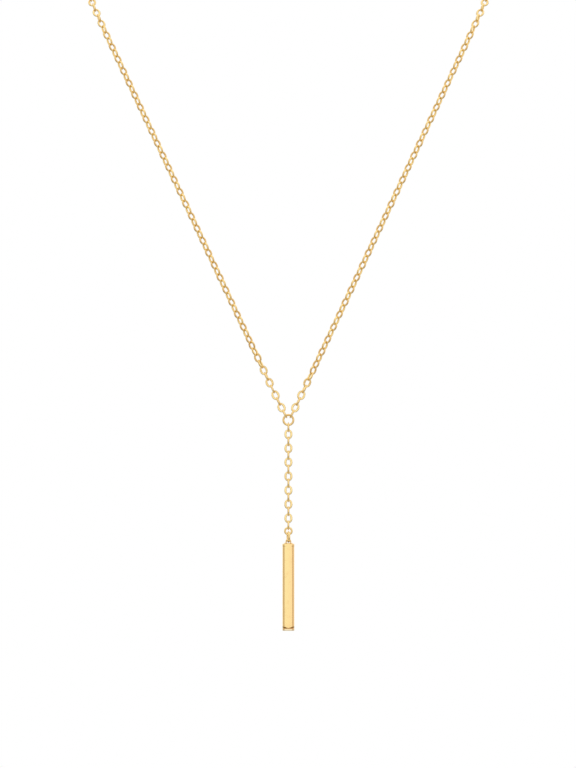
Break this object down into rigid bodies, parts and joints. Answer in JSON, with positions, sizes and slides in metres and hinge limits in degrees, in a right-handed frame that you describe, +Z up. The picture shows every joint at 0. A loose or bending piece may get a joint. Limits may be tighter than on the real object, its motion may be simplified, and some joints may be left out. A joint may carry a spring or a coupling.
{
  "type": "y necklace",
  "caption": "Fine cable-chain Y necklace with a short drop chain and a slim square bar pendant, closed by a small ring clasp at the nape.",
  "frame": {"origin": "the nape, at the middle of the closed clasp, where the necklace sits on the back of the neck", "axes": "+X to the right of somebody who faces the necklace, +Y to its back, +Z up"},
  "size_m": [0.1098, 0.095, 0.1948],
  "materials": {
    "chain": "polished gold plate on brass, fine drawn wire",
    "rings": "polished gold plate on brass",
    "bar": "polished gold plate on brass, with fine buffing lines along the bar",
    "clasp": "polished gold plate on brass"
  },
  "bodies": {
    "necklace": {"chain_left": "chain", "chain_right": "chain", "chain_drop": "chain", "end_link_left": "chain", "end_link_right": "chain", "end_link_drop": "chain", "end_link_clasp_left": "chain", "end_link_clasp_right": "chain", "y_ring": "rings", "drop_ring": "rings", "catch_ring": "rings", "clasp": "clasp"},
    "ring": {"bar_ring": "rings"},
    "bar": {"bar_pendant": "bar"}
  },
  "joints": [
    {"name": "ring_swing", "type": "hinge", "parent": "necklace", "child": "ring", "pos_m": [0, -0.092, -0.16942], "axis": [1, 0, 0], "range_deg": [-65, 65]},
    {"name": "bar_swing", "type": "hinge", "parent": "ring", "child": "bar", "pos_m": [0, -0.092, -0.17106], "axis": [0, 1, 0], "range_deg": [-70, 70]}
  ]
}
